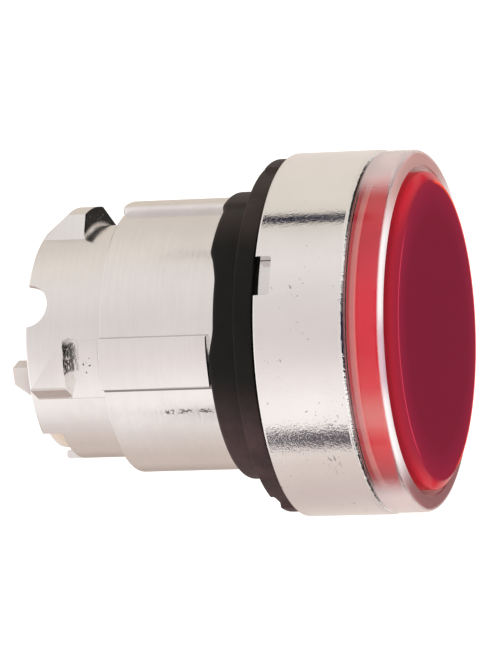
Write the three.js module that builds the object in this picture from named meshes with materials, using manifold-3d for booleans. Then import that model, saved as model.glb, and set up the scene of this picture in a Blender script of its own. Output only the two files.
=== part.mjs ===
// Illuminated push button head for a round hole in a control panel, in millimetres.
//
// The button points along -Y, so y grows from the lens at the front to the rim at the back.
// +Z is up. The origin is on the button's axis, in the plane of the panel's front face.
// A clock angle is in degrees, clockwise from 12 o'clock as seen from the front.
import * as THREE from 'three';
import { mergeVertices } from 'three/addons/utils/BufferGeometryUtils.js';
import Module from 'manifold-3d';

const wasm = await Module();
wasm.setup();

// ---------- driving dimensions ----------

const SEGMENTS = 48;
const TOP = 0;
const RIGHT = 90;
const LEFT = 270;
const KEY_CLOCK = 297;
const FIT = 0.05;
const TRAVEL = 4.3;

// Places along the axis.
const LENS_FRONT = -12.8;
const COLLAR_FRONT = -12.0;
const BEZEL_FRONT = -9.2;
const HEAD_FRONT = -3.8;
const CLAMP_REAR = -3.25;
const SEAL_SEAT = -2.8;
const BUSH_SEAT = -2.3;
const HEAD_REAR = -1.85;
const BEZEL_REAR = -1.8;
const PANEL = 0;
const RIB_START = 3.0;
const SHOULDER = 12.0;
const LUG_FRONT = 14.95;
const RIM = 18.6;
const FOOT_REAR = 20.1;

// Radii of the metal parts.
const BEZEL_RADIUS = 14.5;
const BEZEL_WALL = 1.0;
const BARREL_RADIUS = 10.6;
const RIB_RADIUS = 11.2;
const NECK_RADIUS = 9.35;
const LAND_RADIUS = 9.7;
const LUG_RADIUS = 10.9;
const SPRING_BORE = 9.6;
const NECK_BORE = 8.7;
const SEAL_BORE = 11.2;
const BUSH_BORE = 10.2;

// Radii of the plastic and rubber parts.
const FLANGE_RADIUS = 13.75;
const TAB_RADIUS = 14.1;
const SLEEVE_RADIUS = 11.4;
const SLEEVE_HUMP = 11.6;
const COLLAR_RADIUS = 14.4;
const COLLAR_BORE = 13.1;
const LENS_RADIUS = 12.65;
const PLUNGER_RADIUS = 8.45;
const LAMP_BORE = 7.3;
const PLUNGER_FLANGE = 9.4;

// Places that follow from the button's travel.
const HOLDER_REAR = HEAD_FRONT - TRAVEL - 0.2;
const LENS_SKIRT_END = HOLDER_REAR - 1.4;
const BUSH_REAR = -1.2;
const SPRING_FRONT = -0.2;
const SPRING_REAR = 8.9;
const BORE_STEP = 9.3;

const HEAD_RADIUS = BEZEL_RADIUS - BEZEL_WALL - FIT;

// ---------- materials ----------

function finish(color, roughness, metalness, opacity = 1) {
  return new THREE.MeshStandardMaterial({
    color,
    roughness,
    metalness,
    opacity,
    transparent: opacity < 1,
  });
}

const chrome = finish(0xdcd6d2, 0.18, 1);
const castMetal = finish(0xcfc8c3, 0.35, 1);
const springSteel = finish(0x9a9ca0, 0.3, 1);
const blackRubber = finish(0x24201e, 0.75, 0);
const greyRubber = finish(0x4a4a4c, 0.8, 0);
const clearPlastic = finish(0xf4ecec, 0.08, 0, 0.35);
const frostedPlastic = finish(0xe8e4e0, 0.5, 0, 0.7);
const redPlastic = finish(0xb01c30, 0.12, 0, 0.85);
const creamPlastic = finish(0xe6d6bc, 0.5, 0);
const whitePlastic = finish(0xe9e6e0, 0.45, 0);

// ---------- solids and booleans ----------

// Turns a closed three.js geometry into a solid: vertices that share a place are joined, and the
// triangles that this collapses, as on a turned part's axis, are dropped.
function solidOf(geometry) {
  geometry.deleteAttribute('normal');
  geometry.deleteAttribute('uv');
  const merged = mergeVertices(geometry);
  const corners = merged.index.array;
  const kept = [];
  for (let i = 0; i < corners.length; i += 3) {
    const [a, b, c] = corners.slice(i, i + 3);
    if (a !== b && b !== c && c !== a) {
      kept.push(a, b, c);
    }
  }
  return new wasm.Manifold(new wasm.Mesh({
    numProp: 3,
    vertProperties: new Float32Array(merged.attributes.position.array),
    triVerts: new Uint32Array(kept),
  }));
}

function geometryOf(solid) {
  const mesh = solid.getMesh();
  const geometry = new THREE.BufferGeometry();
  geometry.setAttribute('position', new THREE.BufferAttribute(mesh.vertProperties, 3));
  geometry.setIndex(new THREE.BufferAttribute(mesh.triVerts, 1));
  geometry.computeVertexNormals();
  return geometry;
}

// Turns a profile of [radius, y] points about the button's axis. The profile of a solid disc
// starts and ends on the axis, and any other closes on itself.
function turned(profile) {
  const points = profile.map(([radius, y]) => new THREE.Vector2(radius, y));
  if (THREE.ShapeUtils.area(points) < 0) {
    points.reverse();
  }
  if (points[0].x > 0) {
    points.push(points[0].clone());
  }
  return solidOf(new THREE.LatheGeometry(points, SEGMENTS));
}

// Points along an arc about the button's axis, from one clock angle to another, as [x, z].
function arc(radius, from, to, steps = 6) {
  const points = [];
  for (let i = 0; i <= steps; i += 1) {
    const angle = THREE.MathUtils.degToRad(from + ((to - from) * i) / steps);
    points.push([radius * Math.sin(angle), radius * Math.cos(angle)]);
  }
  return points;
}

function extruded(outline, depth) {
  const shape = new THREE.Shape(outline.map(([u, v]) => new THREE.Vector2(u, v)));
  return new THREE.ExtrudeGeometry(shape, { depth, bevelEnabled: false });
}

// A prism along the button's axis, from an outline of [x, z] points.
function axialPrism(outline, front, rear) {
  const geometry = extruded(outline, rear - front);
  geometry.rotateX(Math.PI / 2);
  geometry.translate(0, rear, 0);
  return geometry;
}

// A prism that points away from the axis at 12 o'clock, from an outline of [across, y] points.
function radialPrism(outline, inner, outer) {
  const geometry = extruded(outline, outer - inner);
  geometry.translate(0, 0, inner);
  return geometry;
}

// Swings a geometry made at 12 o'clock round to another clock angle.
function atClock(geometry, clock) {
  return solidOf(geometry.rotateY(THREE.MathUtils.degToRad(clock)));
}

// A piece of a ring between two radii, from one clock angle to another.
function sector(inner, outer, from, to, front, rear) {
  const outline = [...arc(outer, from, to), ...arc(inner, to, from)];
  return solidOf(axialPrism(outline, front, rear));
}

// ---------- fixed metal parts ----------

// Head flange, barrel, groove and neck in one turned shape, with the bores inside.
function barrelTurning() {
  return turned([
    [SEAL_BORE, HEAD_FRONT],
    [HEAD_RADIUS, HEAD_FRONT],
    [HEAD_RADIUS, HEAD_REAR],
    [BARREL_RADIUS, HEAD_REAR],
    [BARREL_RADIUS, SHOULDER],
    [NECK_RADIUS, SHOULDER],
    [NECK_RADIUS, RIM - 0.2],
    [NECK_RADIUS - 0.15, RIM],
    [NECK_BORE, RIM],
    [NECK_BORE, BORE_STEP],
    [SPRING_BORE, BORE_STEP],
    [SPRING_BORE, BUSH_SEAT],
    [BUSH_BORE, BUSH_SEAT],
    [BUSH_BORE, SEAL_SEAT],
    [SEAL_BORE, SEAL_SEAT],
  ]);
}

// The ribs stop the head from turning in a notched panel hole.
function rib(from, to, start) {
  return sector(BARREL_RADIUS - 0.4, RIB_RADIUS, from, to, start, SHOULDER);
}

// A bayonet lug before its back is cut: a ring piece whose flanks slope down to the neck.
function lugBlank(clock, [baseFrom, topFrom, topTo, baseTo]) {
  const root = NECK_RADIUS - 0.3;
  const outline = [...arc(root, baseTo, baseFrom), ...arc(LUG_RADIUS, topFrom, topTo)];
  return atClock(axialPrism(outline, LUG_FRONT, RIM), clock);
}

// The top lug is the widest. Its back is a ramp that runs down to the rim, and its top falls away
// flat on the side away from the key notch.
function topLug() {
  const ramp = turned([
    [NECK_BORE + 0.2, LUG_FRONT],
    [LUG_RADIUS + 0.3, LUG_FRONT],
    [LUG_RADIUS + 0.3, LUG_FRONT + 1.2],
    [LUG_RADIUS, LUG_FRONT + 1.6],
    [NECK_RADIUS, RIM],
    [NECK_BORE + 0.2, RIM],
  ]);
  const cutHalfWidth = 4.5;
  const flatCut = radialPrism([
    [-cutHalfWidth, LUG_FRONT - 1],
    [cutHalfWidth, LUG_FRONT - 1],
    [cutHalfWidth, RIM + 1],
    [-cutHalfWidth, RIM + 1],
  ], LUG_RADIUS - 0.74, LUG_RADIUS + 1);
  return lugBlank(TOP, [-22, -12, 36, 44]).intersect(ramp).subtract(atClock(flatCut, 32));
}

// A side lug is three-cornered: its upper flank runs from the front down to the rim's lower corner.
function sideLug(clock, up) {
  const reach = 5;
  const plan = [
    [1.7, LUG_FRONT - 1],
    [1.7, LUG_FRONT],
    [-2.2, RIM - 0.65],
    [-reach, RIM - 0.65],
    [-reach, LUG_FRONT - 1],
  ].map(([across, y]) => [across * up, y]);
  const angles = [-22.5, -12, 9, 12].map((angle) => angle * up);
  const ordered = up > 0 ? angles : angles.reverse();
  const wedge = atClock(radialPrism(plan, NECK_BORE, LUG_RADIUS + 1), clock);
  return lugBlank(clock, ordered).intersect(wedge);
}

// The half-round notch in the rim lines up with the notch in the bezel.
function keyNotch() {
  const radius = 1.75;
  const outline = [];
  for (let i = 0; i < 20; i += 1) {
    const angle = (i / 20) * 2 * Math.PI;
    outline.push([radius * Math.sin(angle), RIM + radius * Math.cos(angle)]);
  }
  return atClock(radialPrism(outline, NECK_BORE - 1, NECK_RADIUS + 1), KEY_CLOCK);
}

// The wide notch low in the rim, where the plunger shows.
function lowNotch() {
  return sector(NECK_BORE - 1, NECK_RADIUS + 1, 187, 227.5, RIM - 1.7, RIM + 1);
}

function barrelBody() {
  const land = sector(NECK_RADIUS - 0.3, LAND_RADIUS, 250.5, 279, SHOULDER - 0.2, LUG_FRONT + 0.2);
  return barrelTurning()
    .add(rib(TOP - 9.5, TOP + 9.5, RIB_START + 0.4))
    .add(rib(LEFT - 12.4, LEFT + 9.1, RIB_START))
    .add(rib(RIGHT - 9.1, RIGHT + 12.4, RIB_START))
    .add(land)
    .add(topLug())
    .add(sideLug(LEFT, 1))
    .add(sideLug(RIGHT, -1))
    .subtract(keyNotch())
    .subtract(lowNotch());
}

function bezelRing() {
  const inner = BEZEL_RADIUS - BEZEL_WALL;
  const notchDepth = 1.35;
  const notchHalfWidth = 1.6;
  const ring = turned([
    [inner, BEZEL_FRONT],
    [BEZEL_RADIUS - 0.35, BEZEL_FRONT],
    [BEZEL_RADIUS, BEZEL_FRONT + 0.35],
    [BEZEL_RADIUS, BEZEL_REAR - 0.2],
    [BEZEL_RADIUS - 0.2, BEZEL_REAR],
    [inner, BEZEL_REAR],
  ]);
  const notch = radialPrism([
    [-notchHalfWidth, BEZEL_REAR - notchDepth],
    [notchHalfWidth, BEZEL_REAR - notchDepth],
    [notchHalfWidth, BEZEL_REAR + 1],
    [-notchHalfWidth, BEZEL_REAR + 1],
  ], inner - 1, BEZEL_RADIUS + 1);
  return ring.subtract(atClock(notch, KEY_CLOCK));
}

// ---------- gasket ----------

// A shallow dip in the sleeve's rear edge, in line with the notch in the bezel.
function sleeveDip(edge) {
  const depth = 0.45;
  const outline = [
    [-4.2, edge + 0.1],
    [-2, edge - depth],
    [2, edge - depth],
    [4.2, edge + 0.1],
  ];
  return atClock(radialPrism(outline, BARREL_RADIUS - 0.5, SLEEVE_RADIUS + 1), KEY_CLOCK - 5.5);
}

// A tab sticks out of the flange at the top and at the bottom, and the flange's rear is cut back
// beside the bottom one. The sleeve reaches further back over the top rib.
function panelGasket() {
  const inner = BARREL_RADIUS + FIT;
  const flangeMiddle = -0.3;
  const rear = 2.9;
  const body = turned([
    [inner, HEAD_REAR],
    [HEAD_RADIUS - 0.5, HEAD_REAR],
    [HEAD_RADIUS - 0.5, -1.5],
    [FLANGE_RADIUS, -1.5],
    [FLANGE_RADIUS, PANEL - 0.15],
    [FLANGE_RADIUS - 0.15, PANEL],
    [SLEEVE_RADIUS, PANEL],
    [SLEEVE_RADIUS, rear - 0.5],
    [SLEEVE_RADIUS - 0.4, rear],
    [inner, rear],
  ]);
  const hump = sector(BARREL_RADIUS + 0.3, SLEEVE_HUMP, -16, 16, -0.5, rear + 0.4);
  const overRib = sector(BARREL_RADIUS + 0.3, SLEEVE_RADIUS - 0.2, -46, 46, rear - 0.5, rear + 0.2);
  const topTab = sector(FLANGE_RADIUS - 1, TAB_RADIUS, -12, 12, -1.5, flangeMiddle);
  const bottomTab = sector(FLANGE_RADIUS - 1, TAB_RADIUS, 157, 203, -1.5, flangeMiddle);
  const cutBack = sector(FLANGE_RADIUS - 0.65, FLANGE_RADIUS + 1, 151, 209, flangeMiddle, 1);
  return body
    .subtract(cutBack)
    .add(overRib)
    .add(hump)
    .add(topTab)
    .add(bottomTab)
    .subtract(sleeveDip(rear));
}

// ---------- clear collar and the seals ----------

function guardCollar() {
  const skirt = HEAD_RADIUS;
  return turned([
    [COLLAR_BORE, COLLAR_FRONT],
    [COLLAR_RADIUS - 0.6, COLLAR_FRONT],
    [COLLAR_RADIUS - 0.18, COLLAR_FRONT + 0.18],
    [COLLAR_RADIUS, COLLAR_FRONT + 0.6],
    [COLLAR_RADIUS, BEZEL_FRONT],
    [skirt, BEZEL_FRONT],
    [skirt, HEAD_FRONT - 0.6],
    [COLLAR_BORE, HEAD_FRONT - 0.6],
  ]);
}

function ring(inner, outer, front, rear) {
  return turned([
    [inner, front],
    [outer, front],
    [outer, rear],
    [inner, rear],
  ]);
}

function collarSeal() {
  return ring(COLLAR_BORE - 0.2, HEAD_RADIUS - FIT, HEAD_FRONT - 0.6, HEAD_FRONT);
}

// A flat base held in the head, with a lip that leans forward and in to wipe the plunger.
function lipSeal() {
  return turned([
    [8.95, SEAL_SEAT],
    [SEAL_BORE - FIT, SEAL_SEAT],
    [SEAL_BORE - FIT, CLAMP_REAR],
    [9.6, CLAMP_REAR],
    [8.85, HEAD_FRONT],
    [PLUNGER_RADIUS + FIT, HEAD_FRONT],
  ]);
}

function sealClampRing() {
  return ring(9.9, SEAL_BORE - FIT, HEAD_FRONT, CLAMP_REAR);
}

function guideBush() {
  return turned([
    [PLUNGER_RADIUS + FIT, SEAL_SEAT],
    [BUSH_BORE - FIT, SEAL_SEAT],
    [BUSH_BORE - FIT, BUSH_SEAT],
    [SPRING_BORE - FIT, BUSH_SEAT],
    [SPRING_BORE - FIT, BUSH_REAR],
    [PLUNGER_RADIUS + FIT, BUSH_REAR],
  ]);
}

// ---------- return spring ----------

class Coil extends THREE.Curve {
  constructor(radius, turns, front, rear) {
    super();
    this.radius = radius;
    this.turns = turns;
    this.front = front;
    this.rear = rear;
  }

  getPoint(t, target = new THREE.Vector3()) {
    const angle = t * this.turns * 2 * Math.PI;
    const y = this.front + (this.rear - this.front) * t;
    return target.set(this.radius * Math.sin(angle), y, this.radius * Math.cos(angle));
  }
}

function returnSpring() {
  const wire = 0.325;
  const turns = 6;
  const gap = 0.05;
  const sides = 8;
  const radius = (PLUNGER_RADIUS + SPRING_BORE) / 2;
  const path = new Coil(radius, turns, SPRING_FRONT + wire + gap, SPRING_REAR - wire - gap);
  const outline = [];
  for (let i = 0; i < sides; i += 1) {
    const angle = (i / sides) * 2 * Math.PI;
    outline.push(new THREE.Vector2(wire * Math.cos(angle), wire * Math.sin(angle)));
  }
  const options = { steps: turns * 16, extrudePath: path };
  return solidOf(new THREE.ExtrudeGeometry(new THREE.Shape(outline), options));
}

function springWasher() {
  return ring(NECK_BORE, SPRING_BORE - FIT, SPRING_REAR, BORE_STEP);
}

// ---------- moving parts ----------

function lensCap() {
  const wall = 0.9;
  const face = 1.1;
  const shoulder = 0.8;
  return turned([
    [0, LENS_FRONT],
    [LENS_RADIUS - shoulder, LENS_FRONT],
    [LENS_RADIUS - 0.25, LENS_FRONT + 0.3],
    [LENS_RADIUS, LENS_FRONT + 0.7],
    [LENS_RADIUS, LENS_SKIRT_END],
    [LENS_RADIUS - wall, LENS_SKIRT_END],
    [LENS_RADIUS - wall, LENS_FRONT + face],
    [0, LENS_FRONT + face],
  ]);
}

function lensSeal() {
  return ring(10.6, 11.6, LENS_FRONT + 1.1, LENS_FRONT + 1.6);
}

// A cup that carries the lens on its flange, with a web that fits over the plunger's front end.
function lensHolder() {
  const front = LENS_FRONT + 1.6;
  return turned([
    [10.3, front],
    [11.7, front],
    [11.7, LENS_SKIRT_END + FIT],
    [LENS_RADIUS - FIT, LENS_SKIRT_END + FIT],
    [LENS_RADIUS - FIT, HOLDER_REAR],
    [PLUNGER_RADIUS + FIT, HOLDER_REAR],
    [PLUNGER_RADIUS + FIT, HOLDER_REAR - 1],
    [10.3, HOLDER_REAR - 1],
  ]);
}

function diffuserDisc() {
  const rear = HOLDER_REAR - 1;
  return turned([
    [0, rear - 0.9],
    [10.2, rear - 0.9],
    [10.2, rear],
    [0, rear],
  ]);
}

// A foot stands out of the plunger's rear end on each side and presses a contact block.
function plungerFoot(clock, up) {
  const halfWidth = 1.17;
  const root = RIM - 2.5;
  const outline = [
    [-halfWidth, root],
    [halfWidth, root],
    [halfWidth, FOOT_REAR - 0.3],
    [halfWidth - 0.3, FOOT_REAR],
    [-halfWidth + 0.95, FOOT_REAR],
    [-halfWidth, FOOT_REAR - 1.1],
  ].map(([across, y]) => [across * up, y]);
  const body = atClock(radialPrism(outline, LAMP_BORE - 1.5, PLUNGER_RADIUS + 1), clock);
  return body.intersect(ring(LAMP_BORE - 0.5, PLUNGER_RADIUS, root, FOOT_REAR));
}

// The tube stops short of the rim's notches, apart from a tongue at the bottom and the feet.
function plunger() {
  const rear = RIM - 1.9;
  const tube = turned([
    [LAMP_BORE, HOLDER_REAR - 1],
    [PLUNGER_RADIUS, HOLDER_REAR - 1],
    [PLUNGER_RADIUS, BUSH_REAR],
    [PLUNGER_FLANGE, BUSH_REAR],
    [PLUNGER_FLANGE, SPRING_FRONT],
    [PLUNGER_RADIUS, SPRING_FRONT],
    [PLUNGER_RADIUS, rear],
    [LAMP_BORE, rear],
  ]);
  const tongue = sector(LAMP_BORE, PLUNGER_RADIUS, 130, 230, rear - 0.5, RIM);
  return tube.add(tongue).add(plungerFoot(257.2, 1)).add(plungerFoot(102.8, -1));
}

// ---------- the assembly ----------

function piece(name, solid, material) {
  const mesh = new THREE.Mesh(geometryOf(solid), material);
  mesh.name = name;
  return mesh;
}

const head = new THREE.Group();
head.add(
  piece('barrel_body', barrelBody(), castMetal),
  piece('bezel_ring', bezelRing(), chrome),
  piece('panel_gasket', panelGasket(), blackRubber),
  piece('guard_collar', guardCollar(), clearPlastic),
  piece('collar_seal', collarSeal(), greyRubber),
  piece('lip_seal', lipSeal(), greyRubber),
  piece('seal_clamp_ring', sealClampRing(), whitePlastic),
  piece('guide_bush', guideBush(), whitePlastic),
  piece('spring_washer', springWasher(), springSteel),
  piece('return_spring', returnSpring(), springSteel),
);

const button = new THREE.Group();
button.add(
  piece('lens_cap', lensCap(), redPlastic),
  piece('lens_seal', lensSeal(), greyRubber),
  piece('diffuser_disc', diffuserDisc(), frostedPlastic),
  piece('lens_holder', lensHolder(), whitePlastic),
  piece('plunger', plunger(), creamPlastic),
);

const pushButton = new THREE.Group();
pushButton.add(head, button);

export default pushButton;
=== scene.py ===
"""Looks for the illuminated push button head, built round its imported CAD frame.

The lens faces -Y and +Z is up. Lengths in this file are millimetres until a mesh is made, and a
clock angle is in degrees, clockwise from 12 o'clock as seen from the front. Every piece is made by
its own function, and so is every material.
"""
import math

import bmesh
import bpy
from mathutils import Matrix, Vector


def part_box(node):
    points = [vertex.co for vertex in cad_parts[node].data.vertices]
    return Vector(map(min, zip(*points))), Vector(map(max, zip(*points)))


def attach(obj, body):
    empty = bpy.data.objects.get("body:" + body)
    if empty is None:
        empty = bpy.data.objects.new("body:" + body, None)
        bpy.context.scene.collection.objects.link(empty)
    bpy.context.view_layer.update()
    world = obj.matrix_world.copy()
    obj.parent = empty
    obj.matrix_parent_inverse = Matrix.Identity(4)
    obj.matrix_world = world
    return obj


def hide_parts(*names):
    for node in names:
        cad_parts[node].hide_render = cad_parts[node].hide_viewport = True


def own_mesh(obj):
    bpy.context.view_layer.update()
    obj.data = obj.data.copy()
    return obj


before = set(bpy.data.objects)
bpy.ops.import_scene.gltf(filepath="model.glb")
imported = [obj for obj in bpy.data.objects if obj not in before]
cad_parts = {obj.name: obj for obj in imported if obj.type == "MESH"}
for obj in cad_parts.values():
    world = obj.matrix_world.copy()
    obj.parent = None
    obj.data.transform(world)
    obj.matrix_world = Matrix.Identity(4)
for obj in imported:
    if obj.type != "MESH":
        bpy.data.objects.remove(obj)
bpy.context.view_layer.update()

MM = 0.001
TOP, RIGHT, BOTTOM, LEFT = 0, 90, 180, 270

# The clock angle of the notches in the bezel and in the casting's rim.
KEY_CLOCK = 297


class Span:
    """Where a CAD node lies: its front and rear along the axis, and its reach at 3 and 12 o'clock."""

    def __init__(self, node):
        low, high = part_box(node)
        self.front = low.y / MM
        self.rear = high.y / MM
        self.radius = high.x / MM
        self.height = high.z / MM


barrel_at = Span("barrel_body")
bezel_at = Span("bezel_ring")
gasket_at = Span("panel_gasket")
collar_at = Span("guard_collar")
lens_at = Span("lens_cap")
holder_at = Span("lens_holder")
diffuser_at = Span("diffuser_disc")
plunger_at = Span("plunger")
spring_at = Span("return_spring")

# The casting's radii, and its places along the axis from front to rear.
BARREL_RADIUS = 10.6
RIB_RADIUS = 11.2
NECK_RADIUS = 9.35
LAND_RADIUS = 9.7
LUG_RADIUS = 10.9
NECK_BORE = 8.7
SPRING_BORE = 9.6
BUSH_SEAT = -2.3
HEAD_REAR = -1.85
RIB_START = 3.0
SHOULDER = 12.0
LUG_FRONT = 14.95
RIM = barrel_at.rear

# What stands on the neck starts a little inside it.
ROOT = NECK_RADIUS - 0.3

# How many degrees the side ribs reach below and above 3 and 9 o'clock.
RIB_BELOW = 12.4
RIB_ABOVE = 9.1

# How deep the notch in the bezel's rear edge is.
NOTCH_DEPTH = 1.35

# Steps round the turned pieces that show.
FINE = 288


# ---------- camera ----------

class View:
    """How the head is turned, with x to the camera's right, y up and z towards the camera.

    lens_way is the way the lens faces, above is the way up that is square to it, and nearer is
    the way that is square to both, which points at the camera.
    """
    turn = math.radians(16.92)
    climb = math.radians(1.93)
    lean = math.radians(8.5)
    lens_way = Vector((math.cos(turn) * math.cos(climb), math.cos(turn) * math.sin(climb), math.sin(turn)))
    above = (Vector((0, 1, 0)) - lens_way * lens_way.y).normalized()
    nearer = lens_way.cross(above)
    part_x = above * math.sin(lean) - nearer * math.cos(lean)
    part_z = above * math.cos(lean) + nearer * math.sin(lean)
    to_part = Matrix((part_x, -lens_way, part_z))


def make_camera():
    """Looks at the head from its 9 o'clock side, with the lens turned a little to the camera."""
    bezel_rear_centre = Vector((0, bezel_at.rear, 0))
    seen_at = Vector((4.375, -0.104, -450))
    place = bezel_rear_centre - View.to_part @ seen_at
    data = bpy.data.cameras.new("camera")
    data.sensor_width = 36
    data.lens = 304.2
    data.clip_start = 0.01
    data.clip_end = 20
    camera = bpy.data.objects.new("camera", data)
    camera.matrix_world = Matrix.Translation(place * MM) @ View.to_part.to_4x4()
    bpy.context.scene.collection.objects.link(camera)
    bpy.context.scene.camera = camera


# ---------- mesh making ----------

def rounded(profile, steps=5):
    """Rounds the corners of a profile of (radius, y, corner radius) points.

    A profile that starts off the axis is closed. One that starts on the axis ends there too.
    """
    count = len(profile)
    closed = profile[0][0] > 0
    points = []
    for i, (radius, y, corner) in enumerate(profile):
        here = Vector((radius, y))
        at_end = not closed and i in (0, count - 1)
        if corner == 0 or at_end:
            points.append((radius, y))
            continue
        before = Vector(profile[i - 1][:2]) - here
        after = Vector(profile[(i + 1) % count][:2]) - here
        half = before.angle(after) / 2
        if half > math.radians(89.9):
            points += [(radius, y)] * (steps + 1)
            continue
        reach = min(corner / math.tan(half), 0.48 * before.length, 0.48 * after.length)
        before.normalize()
        after.normalize()
        centre = here + (before + after).normalized() * (reach / math.cos(half))
        start = here + before * reach - centre
        end = here + after * reach - centre
        sweep = start.angle(end)
        for k in range(steps + 1):
            share = k / steps
            spoke = start * math.sin((1 - share) * sweep) + end * math.sin(share * sweep)
            points.append(tuple(centre + spoke / math.sin(sweep)))
    return points


def spun(name, profile_at, steps=192):
    """A mesh round the axis whose profile at each clock angle is profile_at(clock)."""
    shape = bmesh.new()
    columns = []
    for i in range(steps):
        clock = 360 * i / steps
        angle = math.radians(clock)
        column = []
        for radius, y in profile_at(clock):
            if radius < 1e-6 and i > 0:
                column.append(columns[0][len(column)])
            else:
                place = Vector((radius * math.sin(angle), y, radius * math.cos(angle)))
                column.append(shape.verts.new(place * MM))
        columns.append(column)
    count = len(columns[0])
    closed = profile_at(0)[0][0] > 0
    for i in range(steps):
        here, after = columns[i], columns[(i + 1) % steps]
        for k in range(count if closed else count - 1):
            ring = (here[k], after[k], after[(k + 1) % count], here[(k + 1) % count])
            corners = list(dict.fromkeys(ring))
            if len(corners) > 2:
                shape.faces.new(corners)
    bmesh.ops.remove_doubles(shape, verts=shape.verts, dist=1e-7)
    bmesh.ops.recalc_face_normals(shape, faces=shape.faces)
    return object_from(name, shape)


def turned(name, profile, steps=192):
    """A turned mesh from a profile of (radius, y, corner radius) points."""
    points = rounded(profile)
    return spun(name, lambda clock: points, steps)


def object_from(name, shape):
    """Makes an object of a bmesh."""
    mesh = bpy.data.meshes.new(name)
    shape.to_mesh(mesh)
    shape.free()
    made = bpy.data.objects.new(name, mesh)
    bpy.context.scene.collection.objects.link(made)
    return made


def flat(name, corners):
    """A flat face between its corners."""
    shape = bmesh.new()
    shape.faces.new([shape.verts.new(corner * MM) for corner in corners])
    return object_from(name, shape)


def stitch(shape, here, after):
    """Makes the faces between two rings of vertices."""
    for i, corner in enumerate(here):
        j = (i + 1) % len(here)
        shape.faces.new((here[j], corner, after[i], after[j]))


def prism(outline, low, high, place, bevel=0.0):
    """A prism of an outline of (u, v) points between two heights. place maps (u, v, height)."""
    shape = bmesh.new()
    rings = []
    for height in (low, high):
        rings.append([shape.verts.new(place(u, v, height) * MM) for u, v in outline])
    shape.faces.new(rings[0])
    shape.faces.new(rings[1][::-1])
    stitch(shape, *rings)
    bmesh.ops.recalc_face_normals(shape, faces=shape.faces)
    if bevel:
        soften(shape, bevel)
    return object_from("prism", shape)


def soften(shape, width):
    """Bevels the sharp edges of a bmesh."""
    limit = math.radians(25)
    edges = [e for e in shape.edges if e.is_manifold and e.calc_face_angle(0) > limit]
    bmesh.ops.bevel(
        shape, geom=edges, offset=width * MM, segments=3, profile=0.5, affect="EDGES", clamp_overlap=True
    )


def soften_object(made, width):
    """Bevels the sharp edges of an object's mesh."""
    shape = bmesh.new()
    shape.from_mesh(made.data)
    bmesh.ops.dissolve_limit(shape, angle_limit=0.002, verts=shape.verts, edges=shape.edges)
    soften(shape, width)
    shape.to_mesh(made.data)
    shape.free()
    return made


def radial_prism(outline, inner, outer, clock, bevel=0.0):
    """A prism that points away from the axis at a clock angle, from (across, y) points."""
    swing = Matrix.Rotation(math.radians(clock), 3, "Y")

    def place(across, y, height):
        return swing @ Vector((across, y, height))

    return prism(outline, inner, outer, place, bevel)


def arc(radius, start, end, steps=24):
    """Points (x, z) along an arc from one clock angle to another."""
    angles = [math.radians(start + (end - start) * i / steps) for i in range(steps + 1)]
    return [(radius * math.sin(a), radius * math.cos(a)) for a in angles]


def straight_plan(half, front, rear):
    """The outline of a straight strip from front to rear, for radial_prism."""
    return [(-half, front), (half, front), (half, rear), (-half, rear)]


def axial_prism(outline, front, rear, bevel=0.0):
    """A prism along the axis from (x, z) points."""
    return prism(outline, front, rear, lambda x, z, y: Vector((x, y, z)), bevel)


def sector(inner, outer, start, end, front, rear, bevel=0.0):
    """A piece of a ring between two radii and two clock angles."""
    outline = arc(outer, start, end) + arc(inner, end, start)
    return axial_prism(outline, front, rear, bevel)


def combine(base, other, operation):
    """Joins other to base, cuts it away or keeps what both share, and removes other."""
    modifier = base.modifiers.new("combine", "BOOLEAN")
    modifier.operation = operation
    modifier.solver = "EXACT"
    modifier.object = other
    bpy.context.view_layer.update()
    graph = bpy.context.evaluated_depsgraph_get()
    mesh = bpy.data.meshes.new_from_object(base.evaluated_get(graph))
    base.modifiers.clear()
    old = base.data
    base.data = mesh
    bpy.data.meshes.remove(old)
    bpy.data.objects.remove(other)
    return base


def smooth(made):
    """Shades a mesh smooth, apart from its sharp edges."""
    limit = math.radians(40)
    shape = bmesh.new()
    shape.from_mesh(made.data)
    bmesh.ops.recalc_face_normals(shape, faces=shape.faces)
    for face in shape.faces:
        face.smooth = True
    for edge in shape.edges:
        edge.smooth = not (edge.is_manifold and edge.calc_face_angle(0) > limit)
    shape.to_mesh(made.data)
    shape.free()
    weighted = made.modifiers.new("normals", "WEIGHTED_NORMAL")
    weighted.keep_sharp = True
    return made


def settle(made, name, node, body, material):
    """Names a finished piece, gives it its finish, and ties it to its CAD node and body."""
    made.name = name
    made.data.name = name
    made.data.materials.clear()
    made.data.materials.append(material)
    smooth(made)
    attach(made, body)
    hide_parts(node)
    return made


# ---------- material making ----------

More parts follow.
